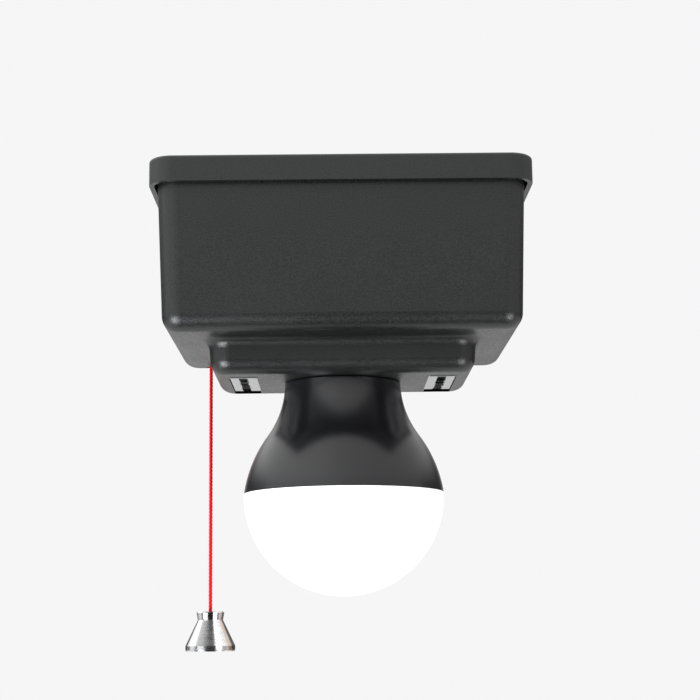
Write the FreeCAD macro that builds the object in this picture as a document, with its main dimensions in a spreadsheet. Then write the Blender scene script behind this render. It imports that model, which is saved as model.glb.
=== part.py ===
import FreeCAD, Part
import math
import os
import re

import Sketcher

# A battery ceiling light with a pull-cord switch built in. Millimetres.
# The origin is the centre of the ceiling plate's top face, +Z is up, and the light hangs below it.
# -Y is the front, and the cord leaves the housing at the left of the back.

SIZES = {
    # ceiling plate
    "PlateWide": 116.0,
    "PlateDeep": 85.0,
    "PlateCorner": 7.2,
    "PlateThick": 2.5,
    "PlateEdge": 0.9,
    "SkirtDrop": 8.0,
    "SkirtWall": 1.5,
    "FixingAcross": 35.0,
    "FixingAlong": 50.0,
    "FixingHole": 4.5,
    # housing, measured at its rim; the draft is what each side loses by the floor
    "RimDrop": 3.0,
    "HouseWide": 111.5,
    "HouseDeep": 80.5,
    "HouseCorner": 6.4,
    "HouseCornerLoss": 0.3,
    "HouseDraft": 1.75,
    "HouseFloor": 52.4,
    "HouseFillet": 5.0,
    "HouseWall": 2.0,
    # boss under the housing, measured at its lower face
    "BossWide": 80.9,
    "BossDeep": 48.8,
    "BossDraft": 0.8,
    "BossCorner": 6.2,
    "BossCornerGain": 0.4,
    "BossFloor": 63.3,
    "BossFillet": 4.5,
    "BossRoot": 3.3,
    "BossLap": 0.5,
    "PadStand": 0.35,
    "PadDeep": 1.2,
    "PadTall": 2.4,
    "PadLow": 8.4,
    # clips riveted under the ceiling plate, gripping the housing's front and back walls
    "ClipWide": 8.0,
    "ClipThick": 0.5,
    "ClipFoot": 6.9,
    "ClipTall": 9.0,
    "ClipLine": 37.9,
    "RivetLine": 33.5,
    "RivetShank": 1.05,
    "RivetHead": 2.0,
    "RivetTall": 0.6,
    "RivetTaper": 0.2,
    # label plates
    "LabelWide": 8.7,
    "LabelLong": 33.4,
    "LabelThick": 0.2,
    "LabelOut": 30.9,
    "LabelBack": 2.2,
    "LabelCorner": 0.5,
    # three cells side by side, each 61.5 long with its nub
    "CellRadius": 17.1,
    "CellBody": 60.0,
    "CellNub": 1.5,
    "CellNubRadius": 4.75,
    "CellPitch": 34.6,
    "CellAxis": 20.4,
    "CellEdge": 0.8,
    # battery tray
    "TrayHalf": 52.0,
    "TrayFront": 36.7,
    "TrayWall": 1.0,
    "TrayFloor": 40.0,
    "TrayThick": 1.5,
    "TrayCorner": 4.4,
    "TrayTop": 7.0,
    "ContactThick": 0.4,
    "ContactTall": 16.0,
    "ContactSpring": 3.0,
    "ContactWire": 0.5,
    "ContactCoil": 6.0,
    "ContactPitch": 1.0,
    "TabAcross": 44.5,
    "TabWide": 3.0,
    "TabTail": 1.5,
    "TabGap": 0.4,
    "RibTall": 10.0,
    "RibThick": 1.2,
    "RibLong": 40.0,
    "PillarAcross": 17.3,
    "PillarAlong": 26.6,
    # driver board
    "BoardWide": 92.0,
    "BoardDeep": 36.0,
    "BoardThick": 1.6,
    "BoardUnder": 47.0,
    "BoardAcross": 42.5,
    "BoardAlong": 13.0,
    "PillarRadius": 3.0,
    "ScrewShank": 0.9,
    "PilotRadius": 1.0,
    "ScrewHole": 1.3,
    "ScrewHead": 2.2,
    "ScrewTall": 1.4,
    "ScrewSlot": 0.5,
    "ScrewSlotLong": 2.86,
    "ScrewSlotDeep": 0.6,
    "PilotDeep": 4.0,
    "TrayScrew": 5.0,
    "Overcut": 1.0,
    # lamp body, with heights above its mouth
    "MouthDrop": 98.4,
    "MouthRadius": 31.45,
    "FlareOuter": 40.4,
    "FlareRadius": 24.04,
    "FlareTall": 18.13,
    "NeckCurve": 29.2,
    "NeckRadius": 18.38,
    "NeckTall": 35.1,
    "NeckReveal": 0.5,
    "MouthInner": 29.4,
    "FlareInnerCurve": 38.4,
    "FlareInner": 22.43,
    "FlareInnerTall": 16.95,
    "NeckInnerCurve": 31.2,
    "NeckInner": 16.55,
    "NeckFloor": 32.1,
    "SpigotRadius": 13.0,
    "SpigotTall": 42.9,
    "SpigotBore": 10.5,
    "NutRadius": 17.5,
    "NutTall": 4.5,
    "NutNotch": 2.0,
    "RunningGap": 0.05,
    # light source
    "HeatDrop": 88.0,
    "HeatRadius": 26.0,
    "HeatThick": 1.5,
    "LightRadius": 24.0,
    "LightThick": 1.0,
    "LightBore": 5.0,
    "ChipRing": 18.5,
    "ChipLong": 3.5,
    "ChipWide": 2.8,
    "ChipThick": 0.7,
    "PostRing": 12.5,
    "PostRadius": 2.6,
    "PostBite": 0.5,
    "LightScrew": 6.0,
    # diffuser, with heights above its lowest point
    "DomeTall": 31.9,
    "DomeWall": 1.8,
    "DomeCentre": 31.45,
    "DomeInner": 29.65,
    "DomeLedge": 29.9,
    "DomeLedgeRadius": 29.61,
    "DomeSpigot": 28.4,
    "DomeSpigotInner": 26.9,
    "DomeSpigotTall": 4.0,
    # pull switch
    "CordAcross": 44.5,
    "CordBack": 33.4,
    "CordRadius": 0.6,
    "PivotDrop": 50.9,
    "KnotRadius": 0.85,
    "KnotGap": 0.02,
    "BushRadius": 1.9,
    "BushTop": 49.6,
    "BushEnd": 52.25,
    "BushBore": 1.0,
    "BushMouth": 1.65,
    "BushFlare": 0.95,
    "CaseLeft": 48.5,
    "CaseRight": 26.5,
    "CaseTop": 17.0,
    "CaseFloor": 48.6,
    "CaseFront": 31.6,
    "CaseBack": 36.2,
    "CaseWall": 0.8,
    "EarThick": 1.0,
    "EarRise": 2.5,
    "EarIn": 4.0,
    "EarPost": 2.4,
    "EarPostLong": 2.2,
    "EarPilot": 2.6,
    "BladeLong": 13.2,
    "BladeShort": 3.0,
    "BladeInset": 1.2,
    "BladeTall": 2.4,
    "BladeThick": 0.6,
    "BladeRise": 3.5,
    "BladeStep": 0.7,
    "SliderWide": 6.0,
    "SliderTall": 12.0,
    "SliderTop": 23.5,
    "SliderFront": 32.8,
    "SliderThick": 2.4,
    "NestRise": 4.3,
    "KnotNest": 1.6,
    "UpperKnot": 1.2,
    "KnotBite": 0.2,
    "CrankReach": 10.45,
    "CrankSwing": 4.0,
    "CrankDrop": 30.0,
    "CrankFront": 31.7,
    "CrankThick": 0.8,
    "CrankPin": 1.0,
    "CrankPinLong": 2.1,
    "RestTurn": 22.5,
    "LeverHub": 2.4,
    "LeverEye": 1.6,
    "PawlLong": 1.0,
    "PawlThick": 0.5,
    "SlotGap": 0.1,
    "SlideGap": 0.2,
    "ShaftRadius": 1.0,
    "RotorRadius": 5.0,
    "RotorFront": 32.7,
    "RotorThick": 1.6,
    "ToothDeep": 0.9,
    "ToothOver": 0.4,
    "BridgeHalf": 1.2,
    "BridgeReach": 5.5,
    "BridgeThick": 0.3,
    "SpringRadius": 1.38,
    "SpringWire": 0.22,
    "SpringTurns": 8.0,
    # pull on the cord, with heights above its rim
    "PullRim": 147.2,
    "PullTall": 12.9,
    "PullTop": 4.6,
    "PullEdge": 0.4,
    "PullCollar": 10.15,
    "PullWaist": 4.18,
    "PullBase": 8.25,
    "PullBand": 1.75,
    "PullLip": 8.05,
    "PullRecess": 6.5,
    "PullRoof": 6.0,
    "PullRoofRadius": 3.4,
    "PullMouth": 1.3,
    "PullMouthDeep": 1.5,
    "PullBore": 0.75,
    "EndKnot": 1.9,
    "EndKnotTall": 4.0,
    "WireRadius": 0.6,
    "WirePitch": 2.2,
    "WireRise": 2.2,
    "WireLand": 1.5,
    "BatteryWireBend": 0.9,
    "SwitchWireBend": 1.2,
}

doc = FreeCAD.newDocument("ceiling_light")
sheet = doc.addObject("Spreadsheet::Sheet", "Sizes")
for row, (name, size) in enumerate(SIZES.items(), start=1):
    sheet.set(f"A{row}", name)
    sheet.set(f"B{row}", str(size))
    sheet.setAlias(f"B{row}", name)
doc.recompute()

FINISHED = {}


def cells(formula):
    """The formula as FreeCAD reads it, with each cell's name pointing at the sheet."""
    return re.sub(r"[A-Z][A-Za-z]*", r"Sizes.\g<0>", formula)


def value(formula):
    """The number that a formula comes to: sums and differences of products, with no brackets."""
    total = 0.0
    for sign, term in re.findall(r"([+-]?)\s*([^+-]+)", formula):
        product = -1.0 if sign == "-" else 1.0
        for factor in term.split("*"):
            factor = factor.strip()
            product *= SIZES[factor] if factor in SIZES else float(factor)
        total += product
    return total


def bind(item, **formulas):
    for name, formula in formulas.items():
        item.setExpression(name, cells(formula))
    return item


def put(item, x="0", y="0", z="0", turn=None):
    """Places an item at three formulas, turned by (axis, degrees)."""
    if turn:
        item.Placement.Rotation = FreeCAD.Rotation(FreeCAD.Vector(*turn[0]), turn[1])
    for axis, formula in zip("xyz", (x, y, z)):
        item.setExpression(f".Placement.Base.{axis}", cells(formula))
    return item


def finish(item, node):
    """Names the object that a sub-part ends in."""
    item.Label = node
    FINISHED[node] = item
    return item


# ---- Part primitives ----

ALONG_Y = ((1, 0, 0), -90)


def box(name, size, at):
    item = bind(doc.addObject("Part::Box", name), Length=size[0], Width=size[1], Height=size[2])
    return put(item, *at)


def rod(name, radius, height, at, turn=None):
    item = bind(doc.addObject("Part::Cylinder", name), Radius=radius, Height=height)
    return put(item, *at, turn)


def cone(name, radius_low, radius_high, height, at, turn=None):
    item = doc.addObject("Part::Cone", name)
    bind(item, Radius1=radius_low, Radius2=radius_high, Height=height)
    return put(item, *at, turn)


def ball(name, radius, at):
    return put(bind(doc.addObject("Part::Sphere", name), Radius=radius), *at)


def join(name, items):
    item = doc.addObject("Part::MultiFuse", name)
    item.Shapes = items
    return item


def cut(name, base, tools):
    item = doc.addObject("Part::Cut", name)
    item.Base = base
    item.Tool = tools[0] if len(tools) == 1 else join(f"{name}_tools", tools)
    return item


def group(name, items):
    """Identical fasteners and the like: separate solids in one node."""
    item = doc.addObject("Part::Compound", name)
    item.Links = items
    return item


def rounded(name, base, radius, chosen):
    """The base with the chosen edges rounded; chosen is a test on an edge."""
    doc.recompute()
    item = doc.addObject("Part::Fillet", name)
    item.Base = base
    edges = [i for i, edge in enumerate(base.Shape.Edges, start=1) if chosen(edge)]
    item.Edges = [(i, value(radius), value(radius)) for i in edges]
    return item


# ---- PartDesign ----


def new_body(node):
    return finish(doc.addObject("PartDesign::Body", node), node)


def new_sketch(body, name, role="XY_Plane", lift="0"):
    sketch = body.newObject("Sketcher::SketchObject", name)
    plane = next(item for item in body.Origin.OriginFeatures if item.Role == role)
    sketch.AttachmentSupport = [(plane, "")]
    sketch.MapMode = "FlatFace"
    sketch.setExpression(".AttachmentOffset.Base.z", cells(lift))
    return sketch


def constrain(sketch, formula, name, *arguments):
    """A named size in a sketch, bound to the sheet."""
    index = sketch.addConstraint(Sketcher.Constraint(*arguments, value(formula)))
    sketch.renameConstraint(index, name)
    sketch.setExpression(f"Constraints.{name}", cells(formula))


def draw_slab(sketch, wide, deep, corner):
    """A rectangle about the origin with rounded corners."""
    half_x, half_y, r = value(wide) / 2, value(deep) / 2, value(corner)
    up = FreeCAD.Vector(0, 0, 1)
    signs = [(1, 1), (-1, 1), (-1, -1), (1, -1)]
    arcs = []
    for quarter, (sx, sy) in enumerate(signs):
        middle = FreeCAD.Vector(sx * (half_x - r), sy * (half_y - r), 0)
        start = quarter * math.pi / 2
        arc = Part.ArcOfCircle(Part.Circle(middle, up, r), start, start + math.pi / 2)
        arcs.append(sketch.addGeometry(arc))
    sides = []
    for quarter, arc in enumerate(arcs):
        following = arcs[(quarter + 1) % 4]
        ends = (sketch.getPoint(arc, 2), sketch.getPoint(following, 1))
        line = sketch.addGeometry(Part.LineSegment(*ends))
        sides.append(line)
        sketch.addConstraint(Sketcher.Constraint("Tangent", arc, 2, line, 1))
        sketch.addConstraint(Sketcher.Constraint("Tangent", line, 2, following, 1))
        sketch.addConstraint(Sketcher.Constraint("Vertical" if quarter % 2 else "Horizontal", line))
        if quarter:
            sketch.addConstraint(Sketcher.Constraint("Equal", arcs[0], arc))
    sketch.addConstraint(Sketcher.Constraint("Symmetric", arcs[0], 3, arcs[2], 3, -1, 1))
    constrain(sketch, corner, "corner", "Radius", arcs[0])
    constrain(sketch, wide, "wide", "DistanceX", sides[1], 1, sides[3], 1)
    constrain(sketch, deep, "deep", "DistanceY", sides[2], 1, sides[0], 1)


def draw_circles(sketch, radius, centres):
    """Equal circles at the given pairs of formulas."""
    for number, (x, y) in enumerate(centres):
        middle = FreeCAD.Vector(value(x), value(y), 0)
        circle = sketch.addGeometry(Part.Circle(middle, FreeCAD.Vector(0, 0, 1), value(radius)))
        constrain(sketch, radius, f"radius_{number}", "Radius", circle)
        constrain(sketch, x, f"across_{number}", "DistanceX", -1, 1, circle, 3)
        constrain(sketch, y, f"along_{number}", "DistanceY", -1, 1, circle, 3)


def draw_outline(sketch, corners):
    """A closed outline. Each corner is (x, y), or (x, y, radius, side) when the edge that leaves it is an
    arc whose centre is to the left or right of the way along it."""
    points = [FreeCAD.Vector(value(corner[0]), value(corner[1]), 0) for corner in corners]
    ends = []
    for number, corner in enumerate(corners):
        start, end = points[number], points[(number + 1) % len(points)]
        if len(corner) == 2:
            edge = sketch.addGeometry(Part.LineSegment(start, end))
            ends.append((edge, 1, 2))
            continue
        radius, side = value(corner[2]), 1 if corner[3] == "left" else -1
        chord = end - start
        normal = FreeCAD.Vector(-chord.y, chord.x, 0) * (side / chord.Length)
        middle = (start + end) * 0.5 + normal * math.sqrt(radius**2 - chord.Length**2 / 4)
        first, last = (start, end) if side == 1 else (end, start)
        angles = [math.atan2(point.y - middle.y, point.x - middle.x) for point in (first, last)]
        circle = Part.Circle(middle, FreeCAD.Vector(0, 0, 1), radius)
        edge = sketch.addGeometry(Part.ArcOfCircle(circle, *angles))
        ends.append((edge, 1, 2) if side == 1 else (edge, 2, 1))
        constrain(sketch, corner[2], f"radius_{number}", "Radius", edge)
    for number, corner in enumerate(corners):
        edge, start, _ = ends[number]
        before, _, finish_end = ends[number - 1]
        sketch.addConstraint(Sketcher.Constraint("Coincident", before, finish_end, edge, start))
        constrain(sketch, corner[0], f"across_{number}", "DistanceX", -1, 1, edge, start)
        constrain(sketch, corner[1], f"up_{number}", "DistanceY", -1, 1, edge, start)


def pad(body, sketch, length, down=False):
    feature = body.newObject("PartDesign::Pad", f"{sketch.Name}_pad")
    feature.Profile = sketch
    feature.Reversed = down
    return bind(feature, Length=length)


def pocket(body, sketch, length, up=False):
    """Cuts downwards from the sketch, or upwards; the solid has to lose volume."""
    doc.recompute()
    before = body.Shape.Volume
    feature = body.newObject("PartDesign::Pocket", f"{sketch.Name}_pocket")
    feature.Profile = sketch
    feature.Reversed = up
    bind(feature, Length=length)
    doc.recompute()
    if body.Shape.Volume >= before:
        raise RuntimeError(f"{feature.Name} cuts nothing")
    return feature


def loft(body, kind, first, second):
    feature = body.newObject(f"PartDesign::{kind}Loft", f"{first.Name}_loft")
    feature.Profile = first
    feature.Sections = [second]
    feature.Ruled = True
    return feature


def fillet(body, feature, radius, chosen):
    """Rounds the chosen edges of a feature; chosen is a test on an edge."""
    doc.recompute()
    edges = [f"Edge{i}" for i, edge in enumerate(feature.Shape.Edges, start=1) if chosen(edge)]
    rounding = body.newObject("PartDesign::Fillet", f"{feature.Name}_fillet")
    rounding.Base = (feature, edges)
    bind(rounding, Radius=radius)
    doc.recompute()
    return rounding


def spin(body, sketch):
    feature = body.newObject("PartDesign::Revolution", f"{sketch.Name}_spin")
    feature.Profile = sketch
    feature.ReferenceAxis = (sketch, ["V_Axis"])
    feature.Angle = 360.0
    return feature


def flat_at(height):
    """A test for edges that lie at one height."""
    return lambda edge: all(abs(v.Z - height) < 1e-4 for v in edge.Vertexes)


def polar(body, feature, count):
    pattern = body.newObject("PartDesign::PolarPattern", f"{feature.Name}_polar")
    pattern.Originals = [feature]
    axis = next(item for item in body.Origin.OriginFeatures if item.Role == "Z_Axis")
    pattern.Axis = (axis, [""])
    pattern.Angle = 360.0
    pattern.Occurrences = count
    body.Tip = pattern
    return pattern


def corners_of(x, y):
    """The four corners of a rectangle about the origin, as pairs of formulas."""
    return [(f"{sx}{x}", f"{sy}{y}") for sx in ("", "-") for sy in ("", "-")]


def upright(edge):
    """A test for straight edges along Z."""
    return abs(edge.tangentAt(edge.FirstParameter).z) > 0.9


def circular(edge):
    return isinstance(edge.Curve, Part.Circle)


def circular_at_y(place):
    """A test for circles whose centre is at one Y."""
    return lambda edge: circular(edge) and abs(edge.Curve.Center.y - value(place)) < 1e-4


# places that several pieces share
CORD = ("-CordAcross", "CordBack")
AXIS_X = "-CordAcross + CrankReach"
AXIS_Z = "-CrankDrop"
BLADES = [
    ("-CrankDrop + BladeRise", "BladeLong"),
    ("-CrankDrop - BladeRise - BladeTall", "BladeLong - BladeShort"),
]
EAR_ACROSS = ("-CordAcross", "-CaseRight - EarIn")
BOARD_TOP = "-BoardUnder + BoardThick"
LIGHT_TOP = "-HeatDrop - HeatThick"


# how many there are of each repeated feature
POSTS = 3
CHIPS = 12
NUT_NOTCHES = 8
TEETH = 8
CONTACT_TURNS = 3
RESISTORS = 6

# the strips that centre the housing in the skirt: middle, length
CENTRING_STRIPS = [("-30", "12"), ("0", "21"), ("43", "9")]

# on the driver board, a coil and two capacitors: x, y, radius, height
ROUND_PARTS = [("6", "-6", "4.2", "3.8"), ("18", "7", "3", "4.2"), ("26", "7", "3", "4.2")]
# and a controller, a diode and a row of resistors: x, y, length, width, height
FLAT_PARTS = [("-8", "2", "6", "5", "1.5"), ("-10", "-11", "4.4", "2.6", "2.1")]
FLAT_PARTS += [(f"-14 + {turn} * ChipLong", "12", "2", "1.25", "0.6") for turn in range(RESISTORS)]

# by how much a wire's volume may differ from its section times its length
WIRE_TOLERANCE = 0.02


# ---- ceiling plate, with its clips ----


def make_ceiling_plate():
    body = new_body("ceiling_plate")
    outer = new_sketch(body, "plate_outer")
    draw_slab(outer, "PlateWide", "PlateDeep", "PlateCorner")
    slab = pad(body, outer, "SkirtDrop", down=True)
    fillet(body, slab, "PlateEdge", flat_at(0.0))
    inner = new_sketch(body, "plate_inner", lift="-PlateThick")
    wall = "2 * SkirtWall"
    draw_slab(inner, f"PlateWide - {wall}", f"PlateDeep - {wall}", "PlateCorner - SkirtWall")
    pocket(body, inner, "SkirtDrop")
    holes = new_sketch(body, "plate_holes")
    draw_circles(holes, "0.5 * FixingHole", corners_of("0.5 * FixingAcross", "0.5 * FixingAlong"))
    pocket(body, holes, "SkirtDrop")


def make_clips():
    """Four spring-steel leaves that grip the housing's front and back walls from inside."""
    leaves, rivets = [], []
    under = "-PlateThick"
    for number, (x, back) in enumerate(
        [("-PillarAcross", False), ("PillarAcross", False), ("-PillarAcross", True), ("PillarAcross", True)]
    ):
        left = f"{x} - 0.5 * ClipWide"
        foot_y = "ClipLine - ClipFoot" if back else "-ClipLine"
        leaf_y = "ClipLine - ClipThick" if back else "-ClipLine"
        line = "RivetLine" if back else "-RivetLine"
        foot = box(f"clip_foot_{number}", ("ClipWide", "ClipFoot", "ClipThick"), (
            left, foot_y, f"{under} - ClipThick"))
        leaf = box(f"clip_leaf_{number}", ("ClipWide", "ClipThick", "ClipTall"), (
            left, leaf_y, f"{under} - ClipTall"))
        hole = rod(f"clip_hole_{number}", "RivetShank + RunningGap", "2 * Overcut", (
            x, line, f"{under} - Overcut"))
        leaves.append(cut(f"clip_{number}", join(f"clip_strip_{number}", [foot, leaf]), [hole]))
        head = cone(f"rivet_head_{number}", "RivetShank + RivetTaper", "RivetHead", "RivetTall", (
            x, line, f"{under} - ClipThick - RivetTall"))
        shank = rod(f"rivet_shank_{number}", "RivetShank", "ClipThick", (x, line, f"{under} - ClipThick"))
        rivets.append(join(f"rivet_{number}", [head, shank]))
    finish(group("clips", leaves), "grip_clips")
    finish(group("rivets", rivets), "clip_rivets")


# ---- housing ----


def make_housing():
    body = new_body("housing_shell")
    lost, wall = "2 * HouseDraft", "2 * HouseWall"
    rim = new_sketch(body, "house_rim", lift="-RimDrop")
    draw_slab(rim, "HouseWide", "HouseDeep", "HouseCorner")
    floor = new_sketch(body, "house_floor", lift="-HouseFloor")
    draw_slab(floor, f"HouseWide - {lost}", f"HouseDeep - {lost}", "HouseCorner - HouseCornerLoss")
    outside = loft(body, "Additive", rim, floor)
    fillet(body, outside, "HouseFillet", flat_at(-SIZES["HouseFloor"]))
    root = new_sketch(body, "boss_root", lift="-HouseFloor + HouseWall")
    draw_slab(root, "BossWide + 2 * BossDraft", "BossDeep + 2 * BossDraft", "BossCorner + BossCornerGain")
    base = new_sketch(body, "boss_base", lift="-BossFloor")
    draw_slab(base, "BossWide", "BossDeep", "BossCorner")
    boss = loft(body, "Additive", root, base)
    boss = fillet(body, boss, "BossFillet", flat_at(-SIZES["BossFloor"]))
    near_x, near_y = (0.5 * SIZES[name] + SIZES["BossRoot"] for name in ("BossWide", "BossDeep"))

    def round_the_boss(edge):
        return flat_at(-SIZES["HouseFloor"])(edge) and all(
            abs(v.X) < near_x and abs(v.Y) < near_y for v in edge.Vertexes
        )

    fillet(body, boss, "BossRoot", round_the_boss)
    # the cavity, one wall inside
    top = new_sketch(body, "cavity_rim", lift="-RimDrop")
    draw_slab(top, f"HouseWide - {wall}", f"HouseDeep - {wall}", "HouseCorner - HouseWall")
    low = new_sketch(body, "cavity_floor", lift="-HouseFloor + HouseWall")
    draw_slab(low, f"HouseWide - {lost} - {wall}", f"HouseDeep - {lost} - {wall}",
              "HouseCorner - HouseWall - HouseCornerLoss")
    cavity = loft(body, "Subtractive", top, low)
    fillet(body, cavity, "HouseFillet - HouseWall", lambda edge: flat_at(
        value("-HouseFloor + HouseWall"))(edge) and edge.Length > 0.1)
    top = new_sketch(body, "boss_cavity_rim", lift="-HouseFloor + HouseWall + BossLap")
    draw_slab(top, f"BossWide + 2 * BossDraft - {wall}", f"BossDeep + 2 * BossDraft - {wall}",
              "BossCorner + BossCornerGain - HouseWall")
    low = new_sketch(body, "boss_cavity_floor", lift="-BossFloor + HouseWall")
    draw_slab(low, f"BossWide - {wall}", f"BossDeep - {wall}", "BossCorner - HouseWall")
    cavity = loft(body, "Subtractive", top, low)
    fillet(body, cavity, "BossFillet - HouseWall", flat_at(value("-BossFloor + HouseWall")))
    # openings for the lamp's spigot and the cord's bush
    neck = new_sketch(body, "neck_hole", lift="-BossFloor")
    draw_circles(neck, "SpigotRadius + SlideGap", [("0", "0")])
    pocket(body, neck, "2 * HouseWall", up=True)
    exit_hole = new_sketch(body, "cord_hole", lift="-HouseFloor")
    draw_circles(exit_hole, "BushRadius + RunningGap", [("-CordAcross", "CordBack")])
    pocket(body, exit_hole, "2 * HouseWall", up=True)
    # pillars for the tray and the driver board, with their pilot holes
    for name, places, top_drop in (
        ("tray_pillars", corners_of("PillarAcross", "PillarAlong"), "TrayFloor"),
        ("board_pillars", corners_of("BoardAcross", "BoardAlong"), "BoardUnder"),
    ):
        pillars = new_sketch(body, name, lift="-HouseFloor + 0.5 * HouseWall")
        draw_circles(pillars, "PillarRadius", places)
        pad(body, pillars, f"HouseFloor - 0.5 * HouseWall - {top_drop}")
        pilots = new_sketch(body, f"{name}_pilots", lift=f"-{top_drop}")
        draw_circles(pilots, "PilotRadius", places)
        pocket(body, pilots, "PilotDeep")
    # bosses on the back wall for the switch's screws
    posts = new_sketch(body, "switch_posts", role="XZ_Plane", lift="-CaseBack")
    places = [(x, "-CaseTop + EarRise") for x in EAR_ACROSS]
    draw_circles(posts, "EarPost", places)
    pad(body, posts, "EarPostLong", down=True)
    pilots = new_sketch(body, "switch_pilots", role="XZ_Plane", lift="-CaseBack")
    draw_circles(pilots, "PilotRadius", places)
    pocket(body, pilots, "EarPilot")
    # low pads on the front and back walls that centre the housing in the skirt
    for number, (x, long) in enumerate(CENTRING_STRIPS):
        for side in ("", "-"):
            name = f"centring_{number}_{'back' if side else 'front'}"
            strip = new_sketch(body, name, lift="-PadLow")
            low_y = "0.5 * HouseDeep + PadStand - PadDeep" if side else "-0.5 * HouseDeep - PadStand"
            draw_outline(strip, [
                (f"{x} - 0.5 * {long}", low_y),
                (f"{x} + 0.5 * {long}", low_y),
                (f"{x} + 0.5 * {long}", f"{low_y} + PadDeep"),
                (f"{x} - 0.5 * {long}", f"{low_y} + PadDeep"),
            ])
            pad(body, strip, "PadTall")


def make_bush_and_labels():
    bore = [
        rod("bush_bore", "BushBore", "BushEnd - BushTop", (*CORD, "-BushEnd")),
        cone("bush_flare", "BushMouth", "BushBore", "BushFlare", (*CORD, "-BushEnd")),
    ]
    stem = rod("bush_stem", "BushRadius", "BushEnd - BushTop", (*CORD, "-BushEnd"))
    finish(cut("bush", stem, bore), "cord_bush")
    for node, x in (("label_left", "-LabelOut"), ("label_right", "LabelOut")):
        plate = box(f"{node}_plate", ("LabelWide", "LabelLong", "LabelThick"), (
            f"{x} - 0.5 * LabelWide", "LabelBack - 0.5 * LabelLong", "-BossFloor - LabelThick"))
        finish(rounded(f"{node}_round", plate, "LabelCorner", upright), node)


# ---- batteries ----

FRONT_FACE = "-TrayFront + TrayWall"
REAR_FACE = f"{FRONT_FACE} + ContactThick + ContactSpring + CellBody + CellNub"
CELL_ACROSS = ("-CellPitch", "0", "CellPitch")


def make_tray():
    """A floor with rounded corners, a low wall at each end of the cells and ribs between them."""
    base_size = ("2 * TrayHalf", f"{REAR_FACE} + ContactThick + TrayWall + TrayFront", "TrayThick")
    base = box("tray_base", base_size, ("-TrayHalf", "-TrayFront", "-TrayFloor"))
    wall_size = ("2 * TrayHalf - 2 * TrayCorner", "TrayWall", "TrayFloor - TrayTop")
    solids = [rounded("tray_base_round", base, "TrayCorner", upright)]
    for name, y in (("tray_front", "-TrayFront"), ("tray_rear", f"{REAR_FACE} + ContactThick")):
        solids.append(box(name, wall_size, ("TrayCorner - TrayHalf", y, "-TrayFloor")))
    for number, x in enumerate(("-0.5 * CellPitch", "0.5 * CellPitch")):
        solids.append(box(f"tray_rib_{number}", ("RibThick", "RibLong", "TrayThick + RibTall"), (
            f"{x} - 0.5 * RibThick", "-0.5 * RibLong", "-TrayFloor")))
    holes = [
        rod(f"tray_hole_{number}", "ScrewHole", "TrayThick", (x, y, "-TrayFloor"))
        for number, (x, y) in enumerate(corners_of("PillarAcross", "PillarAlong"))
    ]
    # slots that the outer contacts' tabs go down through
    slot_size = ("TabWide + 2 * TabGap", "ContactThick + 2 * TabGap", "TrayThick")
    for number, (x, y) in enumerate([("-TabAcross", FRONT_FACE), ("TabAcross", REAR_FACE)]):
        corner = (f"{x} - 0.5 * TabWide - TabGap", f"{y} - TabGap", "-TrayFloor")
        holes.append(box(f"tray_slot_{number}", slot_size, corner))
    finish(cut("tray", join("tray_solid", solids), holes), "battery_tray")


def make_cells():
    """Three cells lying along Y, the middle one the other way round."""
    for number, x in enumerate(CELL_ACROSS, start=1):
        nub_at_back = number != 2
        can_y = f"{FRONT_FACE} + ContactThick + ContactSpring"
        nub_y = f"{can_y} + CellBody"
        if not nub_at_back:
            nub_y = f"{FRONT_FACE} + ContactThick"
            can_y = f"{nub_y} + CellNub"
        can = rod(f"can_{number}", "CellRadius", "CellBody", (x, can_y, "-CellAxis"), ALONG_Y)
        can = rounded(f"can_round_{number}", can, "CellEdge", circular)
        nub = rod(f"nub_{number}", "CellNubRadius", "CellNub", (x, nub_y, "-CellAxis"), ALONG_Y)
        finish(join(f"cell_solid_{number}", [can, nub]), f"cell_{number}")


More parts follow.
